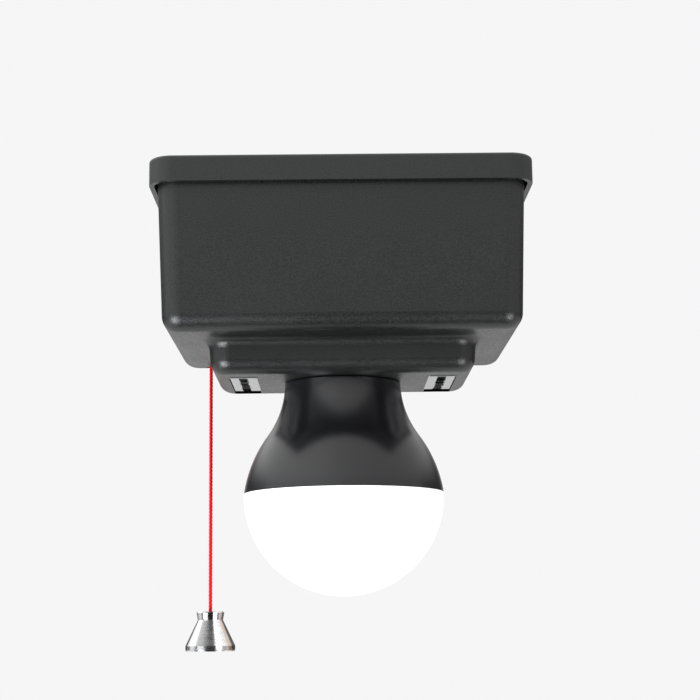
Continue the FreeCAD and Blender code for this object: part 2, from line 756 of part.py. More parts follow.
def make_contacts():
    """Conical springs at the flat ends of the cells, and the plates that link the cells in a row."""
    springs, plates = [], []
    for number, x in enumerate(CELL_ACROSS):
        at_back = number == 1
        rings = []
        for turn in range(CONTACT_TURNS):
            y = f"{FRONT_FACE} + ContactThick + {turn} * ContactPitch + ContactWire"
            if at_back:
                y = f"{REAR_FACE} - {turn} * ContactPitch - ContactWire"
            ring = doc.addObject("Part::Torus", f"contact_ring_{number}_{turn}")
            bind(ring, Radius1=f"ContactCoil - {turn} * ContactPitch", Radius2="ContactWire")
            rings.append(put(ring, x, y, "-CellAxis", ALONG_Y))
            if turn:
                link_y = y if at_back else f"{y} - ContactPitch"
                rings.append(box(f"contact_link_{number}_{turn}", (
                    "ContactPitch", "ContactPitch", "2 * ContactWire"), (
                    f"{x} + ContactCoil - {turn} * ContactPitch", link_y, "-CellAxis - ContactWire")))
        springs.append(join(f"contact_spring_{number}", rings))
    finish(group("springs", springs), "contact_springs")
    half, tall = "0.5 * ContactTall", "ContactTall"
    low = f"-CellAxis - {half}"
    for number, (x, wide, y) in enumerate([
        (f"-CellPitch - {half}", tall, FRONT_FACE),
        (f"-{half}", f"CellPitch + {tall}", FRONT_FACE),
        (f"-CellPitch - {half}", f"CellPitch + {tall}", REAR_FACE),
        (f"CellPitch - {half}", tall, REAR_FACE),
    ]):
        plates.append(box(f"strip_{number}", (wide, "ContactThick", tall), (x, y, low)))
    # the outer plates have a tab that goes down through the tray to a wire
    for number, (side, y) in enumerate([("-", FRONT_FACE), ("", REAR_FACE)]):
        tab = box(f"tab_{number}", ("TabWide", "ContactThick", "TrayFloor + TabTail - CellAxis"), (
            f"{side}TabAcross - 0.5 * TabWide", y, "-TrayFloor - TabTail"))
        link = box(f"tab_link_{number}", ("TabWide", "ContactThick", "TabWide"), (
            "-TabAcross" if side else "TabAcross - TabWide", y, "-CellAxis - 0.5 * TabWide"))
        plates[-number] = join(f"strip_with_tab_{number}", [plates[-number], tab, link])
    finish(group("plates", plates), "contact_plates")


def screw(name, long, at, up=False):
    """A pan-head screw with a cross slot, its head's seat at the given place, pointing down or up."""
    x, y, z = at
    head_z = f"{z} - ScrewTall" if up else z
    top = rod(f"{name}_head", "ScrewHead", "ScrewTall", (x, y, head_z))
    outer = value(head_z) if up else value(f"{z} + ScrewTall")
    top = rounded(f"{name}_dome", top, "ScrewSlot", lambda edge: abs(edge.CenterOfMass.z - outer) < 1e-4)
    slot_z = head_z if up else f"{z} + ScrewTall - ScrewSlotDeep"
    thin, across = "ScrewSlot", "ScrewSlotLong"
    slots = [
        box(f"{name}_slot", (across, thin, "ScrewSlotDeep"), (
            f"{x} - 0.5 * ScrewSlotLong", f"{y} - 0.5 * ScrewSlot", slot_z)),
        box(f"{name}_cross", (thin, across, "ScrewSlotDeep"), (
            f"{x} - 0.5 * ScrewSlot", f"{y} - 0.5 * ScrewSlotLong", slot_z)),
    ]
    stem = rod(f"{name}_stem", "ScrewShank", long, (x, y, z if up else f"{z} - {long}"))
    return join(name, [cut(f"{name}_top", top, slots), stem])


def make_screws(node, places, seat, long, up=False):
    """One node of equal screws with their heads' seats at one height."""
    screws = [screw(f"{node}_{n}", long, (x, y, seat), up) for n, (x, y) in enumerate(places)]
    finish(group(f"{node}_set", screws), node)


# ---- driver board ----


def make_driver_board():
    plate = box("board_plate", ("BoardWide", "BoardDeep", "BoardThick"),
                ("-0.5 * BoardWide", "-0.5 * BoardDeep", "-BoardUnder"))
    places = corners_of("BoardAcross", "BoardAlong")
    holes = [
        rod(f"board_hole_{n}", "ScrewHole", "BoardThick", (x, y, "-BoardUnder"))
        for n, (x, y) in enumerate(places)
    ]
    finish(cut("board", plate, holes), "driver_board")
    parts = []
    for number, (x, y, radius, tall) in enumerate(ROUND_PARTS):
        can = rod(f"round_part_{number}", radius, tall, (x, y, BOARD_TOP))
        parts.append(rounded(f"round_part_edge_{number}", can, "ScrewSlot", circular))
    for number, (x, y, wide, deep, tall) in enumerate(FLAT_PARTS):
        parts.append(box(f"flat_part_{number}", (wide, deep, tall), (x, y, BOARD_TOP)))
    finish(group("parts_on_board", parts), "driver_components")


def tube(node_name, points, bend, radius):
    """A wire along straight runs joined by tangent arcs, as one sweep. Points are in millimetres."""
    places = [FreeCAD.Vector(*point) for point in points]
    edges, start = [], places[0]
    for before, corner, after in zip(places, places[1:], places[2:]):
        inward, onward = (before - corner).normalize(), (after - corner).normalize()
        half_turn = (math.pi - inward.getAngle(onward)) / 2
        reach = bend * math.tan(half_turn)
        first, last = corner + inward * reach, corner + onward * reach
        middle = corner + (inward + onward).normalize() * (bend / math.cos(half_turn) - bend)
        edges.append(Part.LineSegment(start, first).toShape())
        edges.append(Part.Arc(first, middle, last).toShape())
        start = last
    edges.append(Part.LineSegment(start, places[-1]).toShape())
    path = Part.Wire(edges)
    circle = Part.Circle(places[0], places[1] - places[0], radius)
    shape = path.makePipeShell([Part.Wire([circle.toShape()])], True, False)
    if abs(shape.Volume / (math.pi * radius**2 * path.Length) - 1) > WIRE_TOLERANCE:
        raise RuntimeError(f"{node_name} isn't its section times its length")
    item = doc.addObject("Part::Feature", node_name)
    item.Shape = shape
    return item


def make_wires():
    wire = SIZES["WireRadius"]
    board, run = value(BOARD_TOP), value(f"{BOARD_TOP} + WireRise")
    lamp = [
        rod(f"lamp_wire_{n}", "WireRadius", "HeatDrop + HeatThick - BoardUnder", (x, "0", LIGHT_TOP))
        for n, x in enumerate(("-WirePitch", "WirePitch"))
    ]
    finish(group("lamp_wire_pair", lamp), "lamp_wires")
    # from the outer contacts' tabs to the ends of the board
    battery = []
    for number, (side, face) in enumerate([(-1, FRONT_FACE), (1, REAR_FACE)]):
        x, y = side * SIZES["TabAcross"], value(f"{face} + 0.5 * ContactThick")
        land = side * value("0.5 * BoardDeep - WireLand")
        top = value("-TrayFloor - TabTail")
        path = [(x, y, top), (x, y, run), (x, land, run), (x, land, board)]
        battery.append(tube(f"battery_wire_{number}", path, SIZES["BatteryWireBend"], wire))
    finish(group("battery_wire_set", battery), "battery_wires")
    # from the switch's blades to the board
    switch = []
    y, land = value("CaseBack - CaseWall - 0.5 * BladeThick"), value("0.5 * BoardDeep - WireLand")
    for number, (blade_z, reach) in enumerate(BLADES):
        x = value(f"{AXIS_X} - BladeInset + {reach} + BladeStep")
        top = value(f"{blade_z} + 0.5 * BladeTall")
        path = [(x, y, top), (x, y, run), (x, land, run), (x, land, board)]
        switch.append(tube(f"switch_wire_{number}", path, SIZES["SwitchWireBend"], wire))
    finish(group("switch_wire_set", switch), "switch_wires")


# ---- lamp ----


def make_lamp_body():
    body = new_body("lamp_body")
    put(body, "0", "0", "-MouthDrop")
    half = new_sketch(body, "lamp_half", role="XZ_Plane")
    draw_outline(half, [
        ("MouthInner", "0"),
        ("MouthRadius", "0", "FlareOuter", "left"),
        ("FlareRadius", "FlareTall", "NeckCurve", "right"),
        ("NeckRadius", "NeckTall - NeckReveal"),
        ("NeckRadius - NeckReveal", "NeckTall"),
        ("SpigotRadius", "NeckTall"),
        ("SpigotRadius", "SpigotTall"),
        ("SpigotBore", "SpigotTall"),
        ("SpigotBore", "NeckFloor"),
        ("NeckInner", "NeckFloor", "NeckInnerCurve", "left"),
        ("FlareInner", "FlareInnerTall", "FlareInnerCurve", "right"),
    ])
    spin(body, half)
    # three posts that carry the light source
    posts = new_sketch(body, "lamp_posts", lift="MouthDrop - HeatDrop")
    draw_circles(posts, "PostRadius", [("PostRing", "0")])
    post = pad(body, posts, "NeckFloor - MouthDrop + HeatDrop + PostBite")
    polar(body, post, POSTS)
    pilots = new_sketch(body, "lamp_pilots", lift="MouthDrop - HeatDrop")
    draw_circles(pilots, "PilotRadius", [("PostRing", "0")])
    pilot = pocket(body, pilots, "LightScrew", up=True)
    polar(body, pilot, POSTS)


def make_ring_nut():
    body = new_body("lamp_ring_nut")
    put(body, "0", "0", "-BossFloor + HouseWall")
    disc = new_sketch(body, "nut_disc")
    draw_circles(disc, "NutRadius", [("0", "0")])
    pad(body, disc, "NutTall")
    bore = new_sketch(body, "nut_bore", lift="NutTall")
    draw_circles(bore, "SpigotRadius + RunningGap", [("0", "0")])
    pocket(body, bore, "NutTall")
    notch = new_sketch(body, "nut_notch", lift="NutTall")
    draw_circles(notch, "NutNotch", [("NutRadius", "0")])
    polar(body, pocket(body, notch, "NutTall"), NUT_NOTCHES)


def make_light_source():
    """The aluminium plate on the lamp body's posts, with the LED board and its screws under it."""
    ring = SIZES["PostRing"]
    turns = [2 * math.pi * number / POSTS for number in range(POSTS)]
    places = [(f"{ring * math.cos(turn):.4f}", f"{ring * math.sin(turn):.4f}") for turn in turns]
    for node, radius, thick, z, bore in (
        ("heat_plate", "HeatRadius", "HeatThick", LIGHT_TOP, "LightBore"),
        ("led_board", "LightRadius", "LightThick", f"{LIGHT_TOP} - LightThick", "WirePitch - WireRadius"),
    ):
        holes = [rod(f"{node}_hole_{n}", "ScrewHole", thick, (x, y, z)) for n, (x, y) in enumerate(places)]
        holes.append(rod(f"{node}_bore", bore, thick, ("0", "0", z)))
        finish(cut(f"{node}_cut", rod(f"{node}_disc", radius, thick, ("0", "0", z)), holes), node)
    chips = []
    reach = SIZES["ChipRing"]
    for number in range(CHIPS):
        turn = FreeCAD.Rotation(FreeCAD.Vector(0, 0, 1), 360.0 * number / CHIPS)
        corner = turn.multVec(FreeCAD.Vector(reach - SIZES["ChipLong"] / 2, -SIZES["ChipWide"] / 2, 0))
        chip = box(f"chip_{number}", ("ChipLong", "ChipWide", "ChipThick"), (
            f"{corner.x:.4f}", f"{corner.y:.4f}", f"{LIGHT_TOP} - LightThick - ChipThick"))
        chip.Placement.Rotation = turn
        chips.append(chip)
    finish(group("chip_set", chips), "led_chips")
    make_screws("led_screws", places, f"{LIGHT_TOP} - LightThick", "LightScrew", up=True)


def make_diffuser():
    body = new_body("diffuser_dome")
    put(body, "0", "0", "-MouthDrop - DomeTall")
    half = new_sketch(body, "dome_half", role="XZ_Plane")
    draw_outline(half, [
        ("0", "0", "DomeCentre", "left"),
        ("MouthRadius", "DomeCentre"),
        ("MouthRadius", "DomeTall"),
        ("DomeSpigot", "DomeTall"),
        ("DomeSpigot", "DomeTall + DomeSpigotTall"),
        ("DomeSpigotInner", "DomeTall + DomeSpigotTall"),
        ("DomeSpigotInner", "DomeLedge"),
        ("DomeLedgeRadius", "DomeLedge", "DomeInner", "right"),
        ("0", "DomeWall"),
    ])
    spin(body, half)


# ---- pull switch ----


def make_case():
    """The switch's case on the back wall, its cover, shaft, screws and fixed blades."""
    wide, tall = "CaseLeft - CaseRight", "CaseFloor - CaseTop"
    deep, inner_back = "CaseBack - CaseFront", "CaseBack - CaseWall"
    ear_z = "-CaseTop + EarRise"
    block = box("case_block", (wide, deep, tall), ("-CaseLeft", "CaseFront", "-CaseFloor"))
    hollow = box("case_hollow", (f"{wide} - 2 * CaseWall", f"{deep} - CaseWall", f"{tall} - 2 * CaseWall"),
                 ("-CaseLeft + CaseWall", "CaseFront", "-CaseFloor + CaseWall"))
    ears = box("case_ears", (wide, "EarThick", "2 * EarRise"), (
        "-CaseLeft", "CaseBack - EarThick", "-CaseTop"))
    guide = box("case_guide", ("CaseWall", "SliderThick", f"{tall} - CaseWall"), (
        "-CordAcross + 0.5 * SliderWide + SlideGap", f"{inner_back} - SliderThick", "-CaseFloor"))
    shell = join("case_shell", [cut("case_box", block, [hollow]), ears, guide])
    exits = [
        rod("case_cord_hole", "BushBore", "CaseWall", (*CORD, "-CaseFloor")),
        rod("case_shaft_hole", "ShaftRadius", "2 * CaseWall", (AXIS_X, inner_back, AXIS_Z), ALONG_Y),
    ]
    exits += [
        rod(f"case_ear_hole_{n}", "ScrewHole", "EarThick", (x, "CaseBack - EarThick", ear_z), ALONG_Y)
        for n, x in enumerate(EAR_ACROSS)
    ]
    blades = []
    for number, (z, reach) in enumerate(BLADES):
        size = (reach, "BladeThick", "BladeTall")
        blade = box(f"blade_{number}", size, (f"{AXIS_X} - BladeInset", f"{inner_back} - BladeThick", z))
        blades.append(blade)
        exits.append(box(f"blade_way_{number}", size, (
            f"{AXIS_X} - BladeInset", f"{inner_back} - BladeThick", z)))
    finish(group("blade_pair", blades), "fixed_contacts")
    finish(cut("case", shell, exits), "switch_case")
    cover_front = "CaseFront - CaseWall"
    cover = box("cover_plate", (wide, "CaseWall", tall), ("-CaseLeft", cover_front, "-CaseFloor"))
    bore = rod("cover_bore", "ShaftRadius", "CaseWall", (AXIS_X, cover_front, AXIS_Z), ALONG_Y)
    finish(cut("cover", cover, [bore]), "switch_cover")
    shaft = rod("shaft_pin", "ShaftRadius", f"{deep} + CaseWall", (AXIS_X, cover_front, AXIS_Z), ALONG_Y)
    finish(shaft, "rotor_shaft")
    screws = []
    ear_front, head_front = "CaseBack - EarThick", "CaseBack - EarThick - ScrewTall"
    for number, x in enumerate(EAR_ACROSS):
        head = rod(f"ear_head_{number}", "ScrewHead", "ScrewTall", (x, head_front, ear_z), ALONG_Y)
        stem = rod(f"ear_stem_{number}", "ScrewShank", "EarThick + EarPilot", (x, ear_front, ear_z), ALONG_Y)
        head = rounded(f"ear_dome_{number}", head, "ScrewSlot", circular_at_y(head_front))
        screws.append(join(f"ear_screw_{number}", [head, stem]))
    finish(group("ear_screws", screws), "switch_screws")


def make_slider():
    """The nylon slider that the cord pulls down, and the cord's inner end with its knot in it."""
    left, low = "-CordAcross - 0.5 * SliderWide", "-SliderTop - SliderTall"
    block = box("slider_block", ("SliderWide", "SliderThick", "SliderTall"), (left, "SliderFront", low))
    deep = "SliderThick - SlotGap - 0.5 * CrankThick"
    slot_low = f"{AXIS_Z} + CrankSwing - CrankPin - SlotGap"
    cuts = [
        box("slider_slot", ("SliderWide", deep, "2 * CrankPin + 2 * SlotGap"), (
            "-CordAcross - CrankPin - 2 * SlotGap", "SliderFront", slot_low)),
        rod("slider_bore", "CordRadius + SlotGap", "NestRise", (*CORD, low)),
        box("slider_nest", ("2 * KnotNest", deep, "2 * KnotNest"), (
            "-CordAcross - KnotNest", "SliderFront", f"{low} + NestRise - KnotNest")),
    ]
    finish(cut("slider", block, cuts), "pull_slider")
    finish(ball("upper_knot_ball", "UpperKnot", (*CORD, f"{low} + NestRise")), "upper_knot")
    start = "-PivotDrop + KnotRadius + KnotGap"
    length = "PivotDrop - KnotRadius - KnotGap - SliderTop - SliderTall + NestRise - UpperKnot + KnotBite"
    finish(rod("inner_cord_rod", "CordRadius", length, (*CORD, start)), "inner_cord")


def make_return_spring():
    """A compression spring round the cord, from the case's floor to the slider, swept along a helix."""
    radius, wire = SIZES["SpringRadius"], SIZES["SpringWire"]
    low = value("-CaseFloor + CaseWall") + wire
    tall = value("-SliderTop - SliderTall") - wire - low
    helix = Part.makeHelix(tall / SIZES["SpringTurns"], tall, radius)
    circle = Part.Circle(FreeCAD.Vector(radius, 0, 0), FreeCAD.Vector(0, 1, 0), wire)
    coil = Part.Wire(helix.Edges).makePipeShell([Part.Wire([circle.toShape()])], True, True)
    item = doc.addObject("Part::Feature", "return_coil")
    item.Shape = coil
    item.Placement.Base = FreeCAD.Vector(value(CORD[0]), value(CORD[1]), low)
    finish(item, "return_spring")


def make_lever():
    """The lever that the slider turns, drawn flat about the shaft, with its pin in the slider's slot."""
    solids = [
        rod("lever_hub", "LeverHub", "CrankThick", ("0", "0", "0")),
        rod("lever_eye", "LeverEye", "CrankThick", ("-CrankReach", "0", "0")),
        box("lever_arm", ("CrankReach", "2 * LeverEye", "CrankThick"), ("-CrankReach", "-LeverEye", "0")),
        rod("lever_pin", "CrankPin", "CrankThick + CrankPinLong", ("-CrankReach", "0", "0")),
        box("lever_pawl", ("PawlLong", "PawlThick", "CrankThick + CrankPinLong"), (
            "-RotorRadius - PawlLong - SlotGap", "-PawlThick", "0")),
    ]
    bore = rod("lever_bore", "ShaftRadius + RunningGap", "CrankThick", ("0", "0", "0"))
    stand_on_shaft(cut("lever", join("lever_solid", solids), [bore]), "drive_lever", "CrankFront")


def stand_on_shaft(item, node, front):
    """Turns a piece drawn flat about the origin to stand on the switch's shaft, at its rest angle."""
    standing = FreeCAD.Rotation(FreeCAD.Vector(1, 0, 0), -90)
    lean = FreeCAD.Rotation(FreeCAD.Vector(0, 1, 0), SIZES["RestTurn"])
    put(item, AXIS_X, front, AXIS_Z)
    item.Placement.Rotation = lean * standing
    finish(item, node)


def make_rotor():
    """The toothed ratchet wheel, and the bridge of spring brass on its back."""
    body = new_body("ratchet_rotor")
    disc = new_sketch(body, "rotor_disc")
    draw_circles(disc, "RotorRadius", [("0", "0")])
    pad(body, disc, "RotorThick")
    bore = new_sketch(body, "rotor_bore", lift="RotorThick")
    draw_circles(bore, "ShaftRadius + RunningGap", [("0", "0")])
    pocket(body, bore, "RotorThick")
    notch = new_sketch(body, "rotor_notch", lift="RotorThick")
    draw_outline(notch, [
        ("-RotorRadius - ToothOver", "-ToothDeep"),
        ("-RotorRadius + ToothDeep", "-ToothDeep"),
        ("-RotorRadius - ToothOver", "ToothDeep + ToothOver"),
    ])
    polar(body, pocket(body, notch, "RotorThick"), TEETH)
    stand_on_shaft(body, "ratchet_rotor", "RotorFront")
    bar = box("bridge_bar", ("2 * BridgeHalf", "2 * BridgeReach", "BridgeThick"), (
        "-BridgeHalf", "-BridgeReach", "0"))
    hole = rod("bridge_hole", "ShaftRadius + RunningGap", "BridgeThick", ("0", "0", "0"))
    stand_on_shaft(cut("bridge", bar, [hole]), "contact_bridge", "RotorFront + RotorThick")


# ---- cord and pull ----


def make_cord_and_pull():
    """The cord below the housing with its knots, and the turned weight on its end."""
    finish(ball("swivel_ball", "KnotRadius", (*CORD, "-PivotDrop")), "swivel_knot")
    end = "-PullRim + EndKnotTall + EndKnot - KnotBite"
    length = "PullRim - EndKnotTall - EndKnot + KnotBite - PivotDrop - KnotRadius - KnotGap"
    finish(rod("cord_rod", "CordRadius", length, (*CORD, end)), "pull_cord")
    finish(ball("end_ball", "EndKnot", (*CORD, "-PullRim + EndKnotTall")), "pull_knot")
    body = new_body("pull_weight")
    put(body, *CORD, "-PullRim")
    half = new_sketch(body, "pull_half", role="XZ_Plane")
    draw_outline(half, [
        ("PullRecess", "0"),
        ("PullLip", "0"),
        ("PullBase", "PullEdge"),
        ("PullBase", "PullBand"),
        ("PullWaist", "PullCollar"),
        ("PullTop", "PullTall - PullEdge"),
        ("PullTop - PullEdge", "PullTall"),
        ("PullMouth", "PullTall"),
        ("PullMouth", "PullTall - PullMouthDeep"),
        ("PullBore", "PullTall - PullMouthDeep"),
        ("PullBore", "PullRoof"),
        ("PullRoofRadius", "PullRoof"),
    ])
    spin(body, half)


def check_and_export():
    """Stops on any failed object, then writes each sub-part."""
    doc.recompute()
    for item in doc.Objects:
        if {"Invalid", "Error"} & set(item.State):
            raise RuntimeError(f"{item.Label} failed: {item.State}")
    os.makedirs("parts", exist_ok=True)
    for node, item in FINISHED.items():
        if item.Shape.isNull() or not item.Shape.isValid():
            raise RuntimeError(f"{node} has no valid shape")
    for node, item in FINISHED.items():
        item.Shape.exportStep(f"parts/{node}.step")
        reach = item.Shape.BoundBox
        print(f"{node:20s} {len(item.Shape.Solids):3d} solids {item.Shape.Volume:10.1f} mm3  "
              f"x {reach.XMin:7.2f} {reach.XMax:7.2f}  y {reach.YMin:7.2f} {reach.YMax:7.2f}  "
              f"z {reach.ZMin:7.2f} {reach.ZMax:7.2f}")


make_ceiling_plate()
make_clips()
make_housing()
make_bush_and_labels()
make_tray()
make_cells()
make_contacts()
make_screws("tray_screws", corners_of("PillarAcross", "PillarAlong"), "-TrayFloor + TrayThick", "TrayScrew")
make_driver_board()
make_screws("board_screws", corners_of("BoardAcross", "BoardAlong"), BOARD_TOP, "TrayScrew")
make_lamp_body()
make_ring_nut()
make_light_source()
make_diffuser()
make_case()
make_slider()
make_return_spring()
make_lever()
make_rotor()
make_wires()
make_cord_and_pull()
check_and_export()
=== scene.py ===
import math
import random

import bmesh
import bpy
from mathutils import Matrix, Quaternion, Vector


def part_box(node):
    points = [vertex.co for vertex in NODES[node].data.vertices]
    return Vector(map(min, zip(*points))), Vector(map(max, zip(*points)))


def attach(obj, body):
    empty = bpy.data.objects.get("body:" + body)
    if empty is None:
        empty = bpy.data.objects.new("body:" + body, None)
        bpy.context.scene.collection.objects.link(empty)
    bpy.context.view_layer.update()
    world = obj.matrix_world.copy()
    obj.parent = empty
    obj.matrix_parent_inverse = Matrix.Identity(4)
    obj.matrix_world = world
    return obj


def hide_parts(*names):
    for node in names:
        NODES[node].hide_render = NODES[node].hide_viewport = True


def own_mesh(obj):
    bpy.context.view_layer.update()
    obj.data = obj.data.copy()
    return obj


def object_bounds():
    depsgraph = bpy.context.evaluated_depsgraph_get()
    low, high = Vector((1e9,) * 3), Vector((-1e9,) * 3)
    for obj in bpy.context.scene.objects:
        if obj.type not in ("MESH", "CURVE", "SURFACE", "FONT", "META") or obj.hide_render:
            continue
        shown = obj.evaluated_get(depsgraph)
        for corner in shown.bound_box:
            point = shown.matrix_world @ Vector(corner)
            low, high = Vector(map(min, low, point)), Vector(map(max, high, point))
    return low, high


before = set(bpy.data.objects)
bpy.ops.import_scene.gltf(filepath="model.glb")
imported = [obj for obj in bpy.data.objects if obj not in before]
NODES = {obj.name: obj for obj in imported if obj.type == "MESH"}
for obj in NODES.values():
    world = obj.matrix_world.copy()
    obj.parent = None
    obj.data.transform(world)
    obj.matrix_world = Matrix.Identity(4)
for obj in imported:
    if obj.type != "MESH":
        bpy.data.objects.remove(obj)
cad_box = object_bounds()
SCENE = bpy.context.scene
MM = 0.001
MICRON = 0.000001

# the camera's viewpoint: where it stands, its turn, tilt and lean in radians, and its lens in millimetres
CAMERA_PLACE = Vector((-2.99, -496.05, -137.62)) * MM
CAMERA_YAW = 0.011
CAMERA_PITCH = 0.170
CAMERA_ROLL = -0.012
CAMERA_LENS = 80.9
CAMERA_SENSOR = 36.0

# the cord's plies: how many, each one's radius as a share of the cord's diameter, and one turn's length
CORD_DIAMETER = 1.2 * MM
CORD_PLY = 3
PLY_SHARE = 0.285
CORD_TWIST = 3.6 * MM

TUBE_SIDES = 10
SHARP_ANGLE = 35.0
POLYCARBONATE_IOR = 1.58


# ---- small helpers for node trees ----


def tree_of(material):
    """A new node tree's helper: makes nodes and links them by socket."""
    material.use_nodes = True
    nodes, links = material.node_tree.nodes, material.node_tree.links
    nodes.clear()

    def node(kind, **settings):
        item = nodes.new(kind)
        for name, setting in settings.items():
            if hasattr(item, name):
                setattr(item, name, setting)
            else:
                socket = item.inputs[name.replace("_", " ")]
                if isinstance(setting, bpy.types.NodeSocket):
                    links.new(setting, socket)
                else:
                    socket.default_value = setting
        return item

    return node, links


def position(node):
    """The place in the object's own frame, which is the shared frame in metres."""
    return node("ShaderNodeTexCoord").outputs["Object"]


def noise(node, place, scale, detail=3.0, roughness=0.55):
    """Noise with cells of about 1 / scale metres."""
    item = node("ShaderNodeTexNoise", Scale=scale, Detail=detail, Roughness=roughness, Vector=place)
    return item.outputs["Fac"]


def ramp(node, factor, *stops):
    """A colour ramp from (place, grey or colour) stops."""
    item = node("ShaderNodeValToRGB", Fac=factor)
    band = item.color_ramp
    while len(band.elements) < len(stops):
        band.elements.new(0.5)
    for element, (place, colour) in zip(band.elements, stops):
        element.position = place
        element.color = colour if isinstance(colour, tuple) else (colour, colour, colour, 1.0)
    return item.outputs["Color"]


def math_node(node, operation, first, second=None, third=None):
    item = node("ShaderNodeMath", operation=operation)
    for socket, given in zip(item.inputs, (first, second, third)):
        if given is None:
            continue
        if isinstance(given, bpy.types.NodeSocket):
            item.id_data.links.new(given, socket)
        else:
            socket.default_value = given
    return item.outputs["Value"]


def mix(node, factor, first, second):
    """Mixes two colours, each a socket or a colour."""
    item = node("ShaderNodeMix", data_type="RGBA")
    for name, given in (("Factor", factor), ("A", first), ("B", second)):
        sockets = [s for s in item.inputs if s.name == name and s.enabled]
        if isinstance(given, bpy.types.NodeSocket):
            item.id_data.links.new(given, sockets[0])
        else:
            sockets[0].default_value = given
    return next(s for s in item.outputs if s.enabled)


def bump(node, height, depth):
    """A bump of that depth in metres where the height goes from 0 to 1."""
    return node("ShaderNodeBump", Strength=1.0, Distance=depth, Height=height).outputs["Normal"]


def shader(node, links, colour, roughness, **settings):
    """The Principled shader on the material's output; settings go straight on its sockets."""
    item = node("ShaderNodeBsdfPrincipled")
    for name, given in {"Base Color": colour, "Roughness": roughness, **settings}.items():
        socket = item.inputs[name]
        if isinstance(given, bpy.types.NodeSocket):
            links.new(given, socket)
        else:
            socket.default_value = given
    output = node("ShaderNodeOutputMaterial")
    links.new(item.outputs["BSDF"], output.inputs["Surface"])
    return item


def grey(level):
    return (level, level, level, 1.0)


def toned(colour, factor=1.0):
    """The colour made darker or lighter by that factor, as a ramp's stop."""
    return tuple(min(1.0, part * factor) for part in colour) + (1.0,)


# ---- materials ----


def grained_plastic(name, colour, roughness, uneven, grain, depth):
    """Black polycarbonate out of a spark-eroded mould: a fine even grain that breaks up the gloss."""
    material = bpy.data.materials.new(name)
    node, links = tree_of(material)
    place = position(node)
    flowing = node("ShaderNodeMapping", Vector=place, Scale=(1.0, 0.35, 1.0)).outputs["Vector"]
    fine = noise(node, flowing, grain, detail=2.0, roughness=0.6)
    cloud = noise(node, place, 45.0, detail=4.0)
    tone = ramp(node, fine, (0.30, toned(colour, 0.72)), (0.72, toned(colour, 1.5)))
    mottle = math_node(node, "MULTIPLY", cloud, 0.3)
    mottle = math_node(node, "ADD", mottle, math_node(node, "MULTIPLY", fine, 0.7))
    worn = ramp(node, mottle, (0.38, roughness - uneven), (0.62, roughness + uneven))
    item = shader(node, links, tone, worn, Normal=bump(node, fine, depth))
    item.inputs["IOR"].default_value = POLYCARBONATE_IOR
    return material


def plain_plastic(name, colour, roughness, specular=0.5):
    """Smooth moulded plastic with faint flow marks."""
    material = bpy.data.materials.new(name)
    node, links = tree_of(material)
    place = position(node)
    flow = noise(node, place, 220.0, detail=4.0)
    fine = noise(node, place, 2600.0, detail=2.0)
    tone = ramp(node, flow, (0.3, toned(colour, 0.88)), (0.7, toned(colour, 1.1)))
    worn = ramp(node, flow, (0.3, roughness - 0.03), (0.7, roughness + 0.05))
    item = shader(node, links, tone, worn, Normal=bump(node, fine, 10 * MICRON))
    item.inputs["Specular IOR Level"].default_value = specular
    return material


def opal(name):
    """The lit diffuser: milky polycarbonate, with the light inside it showing evenly."""
    material = bpy.data.materials.new(name)
    node, links = tree_of(material)
    place = position(node)
    cloud = noise(node, place, 60.0, detail=3.0)
    tone = ramp(node, cloud, (0.3, (0.90, 0.90, 0.885, 1.0)), (0.7, (0.94, 0.94, 0.93, 1.0)))
    fine = noise(node, place, 3000.0, detail=2.0)
    item = shader(node, links, tone, 0.42, Normal=bump(node, fine, 4 * MICRON))
    item.inputs["Emission Color"].default_value = (1.0, 0.995, 0.975, 1.0)
    item.inputs["Emission Strength"].default_value = 0.42
    item.inputs["Subsurface Weight"].default_value = 0.25
    item.inputs["Subsurface Radius"].default_value = (4 * MM, 4 * MM, 4 * MM)
    return material


def metal(name, colour, roughness, grain=1800.0, stretch=(1.0, 1.0, 1.0)):
    """Bright metal with fine marks, which stretch makes into lines."""
    material = bpy.data.materials.new(name)
    node, links = tree_of(material)
    scaled = node("ShaderNodeMapping", Vector=position(node), Scale=stretch).outputs["Vector"]
    marks = noise(node, scaled, grain, detail=4.0, roughness=0.65)
    tone = ramp(node, marks, (0.3, toned(colour, 0.88)), (0.7, toned(colour)))
    worn = ramp(node, marks, (0.25, roughness * 0.75), (0.75, roughness * 1.35))
    item = shader(node, links, tone, worn, Normal=bump(node, marks, 4 * MICRON))
    item.inputs["Metallic"].default_value = 1.0
    return material


def cord_fibre(name, colour):
    """Polyester yarn: fine filaments along each ply, a soft sheen and a little variation in the dye."""
    material = bpy.data.materials.new(name)
    node, links = tree_of(material)
    place = position(node)
    lines = node("ShaderNodeMapping", Vector=place, Scale=(1.0, 1.0, 0.25)).outputs["Vector"]
    filaments = noise(node, lines, 9000.0, detail=2.0)
    patches = noise(node, place, 900.0, detail=2.0)
    level = math_node(node, "ADD", filaments, math_node(node, "MULTIPLY", patches, 0.5))
    tone = ramp(node, level, (0.45, toned(colour, 0.7)), (0.90, toned(colour, 1.15)))
    item = shader(node, links, tone, 0.6, Normal=bump(node, filaments, 40 * MICRON))
    item.inputs["Specular IOR Level"].default_value = 0.12
    item.inputs["Sheen Weight"].default_value = 0.15
    item.inputs["Sheen Roughness"].default_value = 0.4
    item.inputs["Sheen Tint"].default_value = (1.0, 0.10, 0.12, 1.0)
    return material


CELL_NUB = 1.5 * MM
COPPER_BAND = 14 * MM
BARE_END = 1.2 * MM


